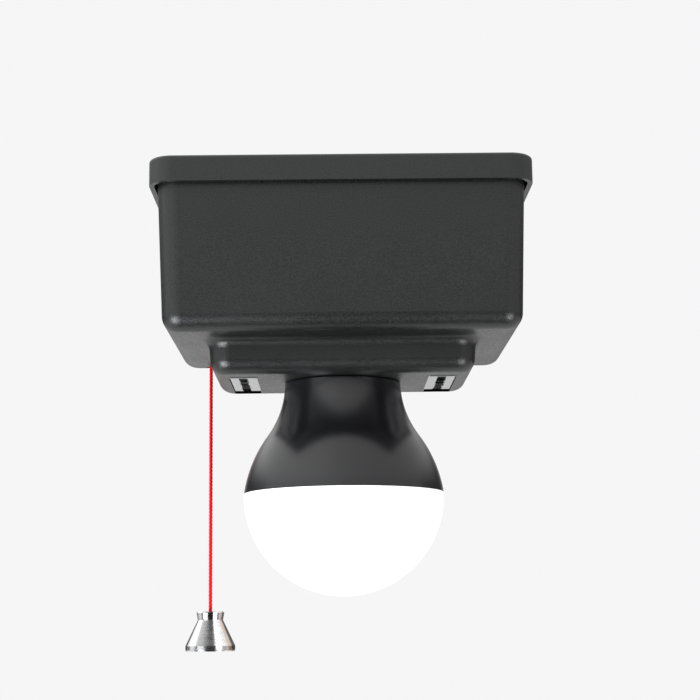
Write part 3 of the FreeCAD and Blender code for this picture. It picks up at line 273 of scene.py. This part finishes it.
def cell_wrap(name, node_name):
    """A cell's printed wrap with a copper band at the nub's end, and bare steel ends."""
    low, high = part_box(node_name)
    nub_back = node_name != "cell_2"
    material = bpy.data.materials.new(name)
    node, links = tree_of(material)
    place = position(node)
    along = node("ShaderNodeSeparateXYZ", Vector=place).outputs["Y"]
    can_low, can_high = (low.y, high.y - CELL_NUB) if nub_back else (low.y + CELL_NUB, high.y)
    band_edge = can_high - COPPER_BAND if nub_back else can_low + COPPER_BAND
    compare = "GREATER_THAN" if nub_back else "LESS_THAN"
    banded = math_node(node, compare, along, band_edge)
    inside = math_node(node, "MULTIPLY", math_node(node, "GREATER_THAN", along, can_low + BARE_END),
                       math_node(node, "LESS_THAN", along, can_high - BARE_END))
    scratch = noise(node, place, 700.0, detail=4.0)
    wrap = mix(node, banded, ramp(node, scratch, (0.3, 0.012), (0.7, 0.02)),
               ramp(node, scratch, (0.3, (0.42, 0.17, 0.06, 1.0)), (0.7, (0.52, 0.22, 0.08, 1.0))))
    steel = ramp(node, scratch, (0.3, 0.45), (0.7, 0.6))
    item = shader(node, links, mix(node, inside, steel, wrap), 0.32)
    printed = math_node(node, "MULTIPLY", inside, 0.85)
    links.new(math_node(node, "SUBTRACT", 1.0, printed), item.inputs["Metallic"])
    links.new(bump(node, scratch, 6 * MICRON), item.inputs["Normal"])
    return material


def board_mask(name, colour, track):
    """Solder mask over copper tracks, which show as slightly lighter raised lines."""
    material = bpy.data.materials.new(name)
    node, links = tree_of(material)
    place = position(node)
    cells = node("ShaderNodeTexVoronoi", feature="DISTANCE_TO_EDGE",
                 Vector=place, Scale=260.0).outputs["Distance"]
    lines = ramp(node, cells, (0.03, 1.0), (0.08, 0.0))
    speckle = noise(node, place, 1500.0)
    mask = ramp(node, speckle, (0.3, toned(colour)), (0.7, toned(colour, 1.2)))
    tone = mix(node, lines, mask, toned(track))
    shader(node, links, tone, 0.34, Normal=bump(node, lines, 30 * MICRON))
    return material


# ---- pieces ----


def mesh_object(name, build, material, body, replaced=()):
    """A mesh piece from a function that fills a bmesh."""
    data = bpy.data.meshes.new(name)
    form = bmesh.new()
    build(form)
    form.to_mesh(data)
    form.free()
    item = bpy.data.objects.new(name, data)
    SCENE.collection.objects.link(item)
    data.materials.append(material)
    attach(item, body)
    if replaced:
        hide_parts(*replaced)
    return item


def curve_line(points):
    """The points along a smooth spline through a route, read from a curve with no bevel."""
    data = bpy.data.curves.new("route", "CURVE")
    data.dimensions = "3D"
    data.resolution_u = 24
    spline = data.splines.new("NURBS")
    spline.points.add(len(points) - 1)
    for knot, place in zip(spline.points, points):
        knot.co = (*place, 1.0)
    spline.order_u = 3
    spline.use_endpoint_u = True
    item = bpy.data.objects.new("route", data)
    SCENE.collection.objects.link(item)
    bpy.context.view_layer.update()
    mesh = bpy.data.meshes.new_from_object(item)
    line = [vertex.co.copy() for vertex in mesh.vertices]
    bpy.data.objects.remove(item)
    bpy.data.meshes.remove(mesh)
    return line


def even_steps(line, step):
    """The line's points again at even steps of about that length."""
    lengths = [0.0]
    for first, second in zip(line, line[1:]):
        lengths.append(lengths[-1] + (second - first).length)
    count = max(2, round(lengths[-1] / step))
    result, spot = [], 0
    for number in range(count + 1):
        target = lengths[-1] * number / count
        while spot < len(line) - 2 and lengths[spot + 1] < target:
            spot += 1
        run = lengths[spot + 1] - lengths[spot]
        result.append(line[spot].lerp(line[spot + 1], (target - lengths[spot]) / run))
    return result


def frames_along(line):
    """(place, side, up) at each point, turned as little as possible from one to the next."""
    frames = []
    side = None
    for number, place in enumerate(line):
        ahead = line[min(number + 1, len(line) - 1)] - line[max(number - 1, 0)]
        ahead.normalize()
        if side is None:
            side = ahead.orthogonal().normalized()
        side = (side - ahead * side.dot(ahead)).normalized()
        frames.append((place, side, ahead.cross(side)))
    return frames


def add_tube(form, line, radius):
    """A closed tube along a line of points."""
    rings = []
    for place, side, up in frames_along(line):
        ring = []
        for number in range(TUBE_SIDES):
            angle = 2 * math.pi * number / TUBE_SIDES
            ring.append(form.verts.new(place + (side * math.cos(angle) + up * math.sin(angle)) * radius))
        rings.append(ring)
    for first, second in zip(rings, rings[1:]):
        for number in range(TUBE_SIDES):
            following = (number + 1) % TUBE_SIDES
            face = form.faces.new((first[number], first[following], second[following], second[number]))
            face.smooth = True
    form.faces.new(list(reversed(rings[0])))
    form.faces.new(rings[-1])


def add_twisted(form, line):
    """Plies twisted round a line, together as thick as the cord."""
    ply_radius = CORD_DIAMETER * PLY_SHARE
    reach = CORD_DIAMETER / 2 - ply_radius
    frames = frames_along(even_steps(line, CORD_TWIST / 20))
    for strand in range(CORD_PLY):
        path, gone = [], 0.0
        for number, (place, side, up) in enumerate(frames):
            if number:
                gone += (place - frames[number - 1][0]).length
            angle = 2 * math.pi * (gone / CORD_TWIST + strand / CORD_PLY)
            path.append(place + (side * math.cos(angle) + up * math.sin(angle)) * reach)
        add_tube(form, path, ply_radius)


KNOT_STEPS = 160


def knot_line(centre, reach):
    """A trefoil's line, as an overhand knot pulled tight takes, fitted in a ball of that radius."""
    line = []
    for number in range(KNOT_STEPS):
        turn = 2 * math.pi * number / KNOT_STEPS
        x = math.sin(turn) + 2 * math.sin(2 * turn)
        y = math.cos(turn) - 2 * math.cos(2 * turn)
        z = -1.35 * math.sin(3 * turn)
        line.append(centre + Vector((x, y, z)) * (reach / 3.3))
    return line


def add_ring_tube(form, line, radius):
    """A tube along a closed line."""
    closed = line + line[:1]
    rings = []
    side = None
    for number, place in enumerate(line):
        ahead = (closed[number + 1] - line[number - 1]).normalized()
        side = ahead.orthogonal() if side is None else side
        side = (side - ahead * side.dot(ahead)).normalized()
        up = ahead.cross(side)
        turns = [2 * math.pi * k / TUBE_SIDES for k in range(TUBE_SIDES)]
        arms = [side * math.cos(turn) + up * math.sin(turn) for turn in turns]
        rings.append([form.verts.new(place + arm * radius) for arm in arms])
    # the frame comes round turned by some angle, so the last ring joins the nearest vertex of the first
    shift = min(range(TUBE_SIDES), key=lambda k: (rings[0][k].co - rings[-1][0].co).length)
    for number, ring in enumerate(rings):
        following = rings[(number + 1) % len(rings)]
        offset = shift if number == len(rings) - 1 else 0
        for k in range(TUBE_SIDES):
            a, b = ring[k], ring[(k + 1) % TUBE_SIDES]
            c, d = following[(k + 1 + offset) % TUBE_SIDES], following[(k + offset) % TUBE_SIDES]
            form.faces.new((a, b, c, d)).smooth = True


def smooth_by_angle(item):
    """Smooth shading that keeps the sharp edges."""
    for face in item.data.polygons:
        face.use_smooth = True
    limit = math.radians(SHARP_ANGLE)
    form = bmesh.new()
    form.from_mesh(item.data)
    folded = [edge for edge in form.edges if len(edge.link_faces) == 2]
    sharp = [edge.index for edge in folded if edge.calc_face_angle() > limit]
    form.free()
    attributes = item.data.attributes
    marks = attributes.get("sharp_edge") or attributes.new("sharp_edge", "BOOLEAN", "EDGE")
    for index in sharp:
        marks.data[index].value = True


def dress(node_name, material):
    """Gives a CAD node its material in all its slots."""
    item = NODES[node_name]
    if not item.data.materials:
        item.data.materials.append(material)
    for number in range(len(item.data.materials)):
        item.data.materials[number] = material


# ---- the object ----

HOUSING_BLACK = (0.0076, 0.0086, 0.0082)
HOUSING_PLASTIC = grained_plastic("housing plastic", HOUSING_BLACK, 0.37, 0.07, 2300.0, 36 * MICRON)
SKIRT_PLASTIC = grained_plastic("plate plastic", HOUSING_BLACK, 0.37, 0.06, 2300.0, 30 * MICRON)
LAMP_PLASTIC = grained_plastic("lamp plastic", (0.0036, 0.0038, 0.0052), 0.25, 0.02, 4200.0, 2 * MICRON)
BLACK_PLASTIC = plain_plastic("black plastic", (0.010, 0.010, 0.011), 0.42)
NYLON = plain_plastic("natural nylon", (0.72, 0.68, 0.58), 0.45)
STEEL = metal("bright steel", (0.62, 0.61, 0.60), 0.26)
ZINC = metal("zinc plate", (0.66, 0.67, 0.68), 0.30, grain=2600.0)
NICKEL = metal("nickel plate", (0.72, 0.70, 0.66), 0.20)
BRASS = metal("spring brass", (0.78, 0.57, 0.24), 0.24)
STAMPED = metal("stamped aluminium", (0.80, 0.81, 0.82), 0.34, stretch=(1.0, 0.06, 1.0))
RED_CORD = cord_fibre("red cord", (0.92, 0.003, 0.010))
INSULATION = plain_plastic("wire insulation", (0.45, 0.02, 0.02), 0.38)
PACKAGES = plain_plastic("moulded packages", (0.018, 0.018, 0.020), 0.40)
PHOSPHOR = plain_plastic("phosphor", (0.90, 0.66, 0.16), 0.35)
BOARD = board_mask("solder mask", (0.012, 0.085, 0.035), (0.03, 0.16, 0.07))
LIGHT_BOARD = board_mask("white mask", (0.72, 0.72, 0.70), (0.80, 0.80, 0.78))
OPAL = opal("opal diffuser")

dress("ceiling_plate", SKIRT_PLASTIC)
dress("housing_shell", HOUSING_PLASTIC)
dress("lamp_body", LAMP_PLASTIC)
dress("diffuser_dome", OPAL)
for name in ("battery_tray", "switch_case", "switch_cover", "cord_bush", "lamp_ring_nut"):
    dress(name, BLACK_PLASTIC)
for name in ("pull_slider", "drive_lever", "ratchet_rotor"):
    dress(name, NYLON)
for name in ("grip_clips", "contact_springs", "return_spring"):
    dress(name, STEEL)
for name in ("clip_rivets", "tray_screws", "board_screws", "led_screws", "switch_screws", "rotor_shaft"):
    dress(name, ZINC)
dress("contact_plates", NICKEL)
dress("fixed_contacts", BRASS)
dress("contact_bridge", BRASS)
dress("heat_plate", STAMPED)
dress("driver_board", BOARD)
dress("led_board", LIGHT_BOARD)
dress("driver_components", PACKAGES)
dress("led_chips", PHOSPHOR)
for name in ("lamp_wires", "battery_wires", "switch_wires"):
    dress(name, INSULATION)
for name in ("cell_1", "cell_2", "cell_3"):
    dress(name, cell_wrap(f"wrap {name}", name))
for item in NODES.values():
    smooth_by_angle(item)


# ---- labels: foil plates with plain bars for their print ----

FOIL = metal("label foil", (0.62, 0.62, 0.63), 0.30, grain=900.0)
INK = plain_plastic("label ink", (0.003, 0.003, 0.003), 0.7, specular=0.0)
INK_THICK = 0.03 * MM
PRINT_LINE = 0.35 * MM
PRINT_BAND = 6.0 * MM


def add_slab(form, low, high):
    """A thin upright-sided block."""
    made = bmesh.ops.create_cube(form, size=1.0)
    for vertex in made["verts"]:
        for axis in range(3):
            vertex.co[axis] = low[axis] if vertex.co[axis] < 0 else high[axis]


def build_print(side, low, high):
    """The print on one label: a band at the back, a line at the outer edge and a column of uneven bars."""
    def build(form):
        chance = random.Random(41 if side < 0 else 43)
        under, top = low.z - INK_THICK, low.z
        outer = low.x if side < 0 else high.x
        edge = sorted((outer, outer - side * PRINT_LINE))
        add_slab(form, (edge[0], low.y + 0.4 * MM, under), (edge[1], high.y - 0.2 * MM, top))
        add_slab(form, (low.x + 0.1 * MM, high.y - PRINT_BAND, under),
                 (high.x - 0.1 * MM, high.y - 0.2 * MM, top))
        middle = (low.x + high.x) / 2
        place = low.y + 0.8 * MM
        while place < high.y - 6.6 * MM:
            thick = chance.uniform(0.35, 1.5) * MM
            left = middle - chance.uniform(1.15, 1.6) * MM
            right = middle + chance.uniform(1.0, 1.6) * MM
            add_slab(form, (left, place, under), (right, min(place + thick, high.y - 6.1 * MM), top))
            place += thick + chance.uniform(0.12, 0.5) * MM
    return build


for side, name in ((-1, "label_left"), (1, "label_right")):
    dress(name, FOIL)
    low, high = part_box(name)
    mesh_object(f"{name}_print", build_print(side, low, high), INK, "housing")


# ---- cord ----

exit_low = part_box("cord_bush")[0]
cord_low, cord_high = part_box("pull_cord")
CORD_X = (cord_low.x + cord_high.x) / 2
CORD_Y = (cord_low.y + cord_high.y) / 2
pull_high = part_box("pull_weight")[1]
knot_low, knot_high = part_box("pull_knot")
route = [Vector((CORD_X, CORD_Y, height)) for height in (
    cord_high.z, exit_low.z - 6 * CORD_DIAMETER, pull_high.z + 6 * CORD_DIAMETER, knot_high.z - 0.3 * MM)]
cord_line = curve_line(route)
cord_path = even_steps(cord_line, 2 * MM)
pull_cord = mesh_object("cord_outside", lambda form: add_twisted(form, cord_line), RED_CORD,
                        "pull", ("pull_cord",))

inner_low, inner_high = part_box("inner_cord")
inner_middle = (inner_low.z + inner_high.z) / 2
inner_route = [Vector((CORD_X, CORD_Y, height)) for height in (inner_high.z, inner_middle, inner_low.z)]
mesh_object("cord_inside", lambda form: add_twisted(form, curve_line(inner_route)), RED_CORD,
            "slider", ("inner_cord",))


def build_knot(centre, reach, thick):
    return lambda form: add_ring_tube(form, knot_line(centre, reach), thick)


# how far each knot's line reaches from its middle, and its cord's radius where it is pulled tight
END_KNOT = (1.28 * MM, 0.56 * MM)
UPPER_KNOT = (0.72 * MM, 0.42 * MM)

pull_knot = mesh_object("cord_end_knot", build_knot((knot_low + knot_high) / 2, *END_KNOT), RED_CORD,
                        "pull", ("pull_knot",))
upper_low, upper_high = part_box("upper_knot")
mesh_object("cord_upper_knot", build_knot((upper_low + upper_high) / 2, *UPPER_KNOT), RED_CORD,
            "slider", ("upper_knot",))


def build_bend(form):
    """The few turns of cord at the bend, where it leaves the housing."""
    low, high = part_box("swivel_knot")
    centre = (low + high) / 2
    made = bmesh.ops.create_uvsphere(form, u_segments=32, v_segments=20, radius=1.0)
    for vertex in made["verts"]:
        turn = math.atan2(vertex.co.y, vertex.co.x)
        swell = 1.0 + 0.05 * math.cos(3 * (turn + vertex.co.z * 1.6))
        vertex.co = centre + Vector((vertex.co.x * 0.62, vertex.co.y * 0.62, vertex.co.z * 0.85)) * swell * MM
    for face in form.faces:
        face.smooth = True


mesh_object("cord_bend", build_bend, RED_CORD, "swivel", ("swivel_knot",))


# ---- return spring under the slider: a coil of one length, though the real one closes up as the cord is pulled ----

SPRING_WIRE = 0.22 * MM
SPRING_TURNS = 8
spring_low, spring_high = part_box("return_spring")
spring_tall = spring_high.z - spring_low.z


def build_spring(form):
    radius = (spring_high.x - spring_low.x) / 2 - SPRING_WIRE
    rise = spring_tall - 2 * SPRING_WIRE
    steps = SPRING_TURNS * 28
    line = []
    for number in range(steps + 1):
        turn = 2 * math.pi * SPRING_TURNS * number / steps
        height = spring_low.z + SPRING_WIRE + rise * number / steps
        line.append(Vector((CORD_X + radius * math.cos(turn), CORD_Y + radius * math.sin(turn), height)))
    add_tube(form, line, SPRING_WIRE)


spring = mesh_object("coil_spring", build_spring, STEEL, "slider", ("return_spring",))
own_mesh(spring)


# ---- pull, turned from bright bar ----

# The polish's reflection is painted into its colour as bright and dark bands, which stay put on the pull:
# degrees round the pull from the front, rising to the right, and how bright the painted reflection is there
PULL_REFLECTION_BANDS = (
    (-180, 0.85), (-152, 0.90), (-143, 0.18), (-126, 0.25), (-118, 0.92), (-90, 0.40), (-66, 0.30),
    (-60, 0.94), (-37, 0.94), (-29, 0.34), (-12, 0.20), (-2, 0.09), (14, 0.11), (18, 0.94), (46, 0.94),
    (50, (0.82, 0.66, 0.55, 1.0)), (61, (0.80, 0.64, 0.54, 1.0)), (66, 0.10), (88, 0.14), (96, 0.90),
    (132, 0.92), (139, 0.15), (158, 0.22), (165, 0.90), (180, 0.85),
)


def pull_metal():
    """Polished aluminium with a lathe's fine rings, dull specks, and a painted reflection in bright and dark
    bands.
    """
    material = bpy.data.materials.new("turned aluminium")
    node, links = tree_of(material)
    place = position(node)
    shifted = node("ShaderNodeMapping", Vector=place, Location=(-CORD_X, -CORD_Y, 0.0)).outputs["Vector"]
    parts = node("ShaderNodeSeparateXYZ", Vector=shifted)
    squares = [math_node(node, "MULTIPLY", parts.outputs[axis], parts.outputs[axis]) for axis in "XY"]
    across = math_node(node, "SQRT", math_node(node, "ADD", *squares))
    rings = node("ShaderNodeCombineXYZ", X=across, Y=0.0, Z=parts.outputs["Z"]).outputs["Vector"]
    lines = noise(node, rings, 9000.0, detail=3.0, roughness=0.7)
    broad = noise(node, rings, 1500.0, detail=2.0)
    specks = noise(node, place, 2600.0, detail=3.0)
    forward = math_node(node, "MULTIPLY", parts.outputs["Y"], -1.0)
    turn = math_node(node, "ARCTAN2", parts.outputs["X"], forward)
    wander = math_node(node, "MULTIPLY_ADD", specks, 0.24, -0.12)
    turn = math_node(node, "MULTIPLY_ADD", math_node(node, "ADD", turn, wander), 0.5 / math.pi, 0.5)
    # painted reflection: bright and dark bands round the pull's axis, put into its base colour
    painted_reflection = ramp(node, turn, *((0.5 + angle / 360.0, level) for angle, level in PULL_REFLECTION_BANDS))
    dull = ramp(node, math_node(node, "MULTIPLY", specks, broad), (0.12, 0.35), (0.34, 0.0))
    tone = mix(node, dull, painted_reflection, grey(0.45))
    worn = ramp(node, lines, (0.3, 0.20), (0.7, 0.34))
    height = math_node(node, "ADD", lines, math_node(node, "MULTIPLY", specks, 0.5))
    item = shader(node, links, tone, worn, Normal=bump(node, height, 2 * MICRON))
    item.inputs["Metallic"].default_value = 1.0
    item.inputs["Anisotropic"].default_value = 0.85
    item.inputs["Anisotropic Rotation"].default_value = 0.25
    return material


dress("pull_weight", pull_metal())


# ---- studio ----

FLOOR_DROP = 500 * MM
FLOOR_REACH = 3.0
FLOOR_THICK = 0.01
BACKDROP_LEVEL = 0.92

# how bright the studio is as light on the object, from its left to its right
LEVEL_BESIDE = ((0.0, 0.90), (0.5, 0.62), (1.0, 0.50))
LEVEL_BELOW = ((0.0, 0.25), (0.38, 0.85), (0.5, 0.60), (0.62, 0.55), (1.0, 0.12))
LEVEL_ABOVE = ((0.0, 1.75), (0.5, 1.2), (1.0, 1.0))
LEVEL_BEHIND = 0.08
LEVEL_LOW_FRONT = 0.03

# each softbox's name, place, width and height, watts and tint
SOFTBOXES = (
    ("softbox left", Vector((-0.49, -0.48, -0.475)), 0.48, 8.2, (0.93, 0.97, 1.0)),
    ("softbox right", Vector((0.49, -0.48, -0.475)), 0.38, 3.2, (1.0, 0.96, 0.97)),
)


def make_floor():
    """A plain pale floor well below the light, in two slabs. The front one is hidden from reflections and from
    diffuse light."""
    low, _ = cad_box
    material = bpy.data.materials.new("floor")
    node, links = tree_of(material)
    tone = ramp(node, noise(node, position(node), 2.0), (0.3, 0.68), (0.7, 0.72))
    shader(node, links, tone, 0.7)
    for name, front, back in (("floor back", low.y, FLOOR_REACH), ("floor front", -FLOOR_REACH, low.y)):
        data = bpy.data.meshes.new(name)
        form = bmesh.new()
        add_slab(form, Vector((-FLOOR_REACH, front, -FLOOR_THICK)), Vector((FLOOR_REACH, back, 0.0)))
        form.to_mesh(data)
        form.free()
        item = bpy.data.objects.new(name, data)
        item.location.z = low.z - FLOOR_DROP
        if name == "floor front":
            item.visible_glossy = False
            item.visible_diffuse = False
        SCENE.collection.objects.link(item)
        data.materials.append(material)


def band(node, given, start, full, end=None, gone=None):
    """Rises smoothly from 0 at start to 1 at full, and where end is given falls again from end to gone."""
    ends = [(start, full)] if end is None else [(start, full), (gone, end)]
    parts = []
    for none, all_of_it in ends:
        item = node("ShaderNodeMapRange", interpolation_type="SMOOTHSTEP", Value=given,
                    From_Min=none, From_Max=all_of_it)
        parts.append(item.outputs["Result"])
    return parts[0] if end is None else math_node(node, "MULTIPLY", *parts)


def make_world():
    """A pale studio. The camera sees it plain. As light on the object it is graded by direction: brightest at
    the upper left, and dark behind and low down in front."""
    world = bpy.data.worlds.new("studio")
    SCENE.world = world
    node, links = tree_of(world)
    ways = node("ShaderNodeSeparateXYZ", Vector=node("ShaderNodeTexCoord").outputs["Generated"])
    x, y, z = (ways.outputs[axis] for axis in "XYZ")
    level = ramp(node, band(node, x, -0.9, 0.9), *LEVEL_BESIDE)
    lower = ramp(node, band(node, x, -0.7, 0.7), *LEVEL_BELOW)
    level = mix(node, band(node, z, 0.0, -0.2), level, lower)
    upper = ramp(node, band(node, x, -0.9, 0.9), *LEVEL_ABOVE)
    tone = mix(node, band(node, z, 0.16, 0.5), level, upper)
    gaps = math_node(node, "MULTIPLY", band(node, y, 0.10, 0.30, 0.90, 0.96), band(node, z, 0.40, 0.20))
    tone = mix(node, gaps, tone, grey(LEVEL_BEHIND))
    front = math_node(node, "MULTIPLY", band(node, y, 0.0, -0.1), band(node, x, -0.98, -0.86, 0.42, 0.6))
    front = math_node(node, "MULTIPLY", front, band(node, z, 0.10, 0.03))
    tone = mix(node, front, tone, grey(LEVEL_LOW_FRONT))
    lit = node("ShaderNodeBackground", Color=tone, Strength=1.0)
    plain = node("ShaderNodeBackground", Color=grey(BACKDROP_LEVEL), Strength=1.0)
    choose = node("ShaderNodeMixShader", Fac=node("ShaderNodeLightPath").outputs["Is Camera Ray"])
    links.new(lit.outputs["Background"], choose.inputs[1])
    links.new(plain.outputs["Background"], choose.inputs[2])
    output = node("ShaderNodeOutputWorld")
    links.new(choose.outputs["Shader"], output.inputs["Surface"])


def add_softbox(name, place, size, watts, tint, target):
    """A square light that faces the target."""
    data = bpy.data.lights.new(name, "AREA")
    data.shape = "RECTANGLE"
    data.size = data.size_y = size
    data.energy = watts
    data.color = tint
    item = bpy.data.objects.new(name, data)
    item.location = place
    item.rotation_mode = "QUATERNION"
    item.rotation_quaternion = (target - place).to_track_quat("-Z", "Y")
    SCENE.collection.objects.link(item)


def make_camera():
    data = bpy.data.cameras.new("camera")
    data.sensor_width = CAMERA_SENSOR
    data.lens = CAMERA_LENS
    data.clip_start = 0.01
    item = bpy.data.objects.new("camera", data)
    item.location = CAMERA_PLACE
    look = Vector((
        math.sin(CAMERA_YAW) * math.cos(CAMERA_PITCH),
        math.cos(CAMERA_YAW) * math.cos(CAMERA_PITCH),
        math.sin(CAMERA_PITCH),
    ))
    item.rotation_mode = "QUATERNION"
    item.rotation_quaternion = look.to_track_quat("-Z", "Y") @ Quaternion((0.0, 0.0, 1.0), CAMERA_ROLL)
    SCENE.collection.objects.link(item)
    SCENE.camera = item


make_floor()
make_world()
centre = (cad_box[0] + cad_box[1]) / 2
for softbox in SOFTBOXES:
    add_softbox(*softbox, centre)
make_camera()
SCENE.view_settings.view_transform = "Standard"
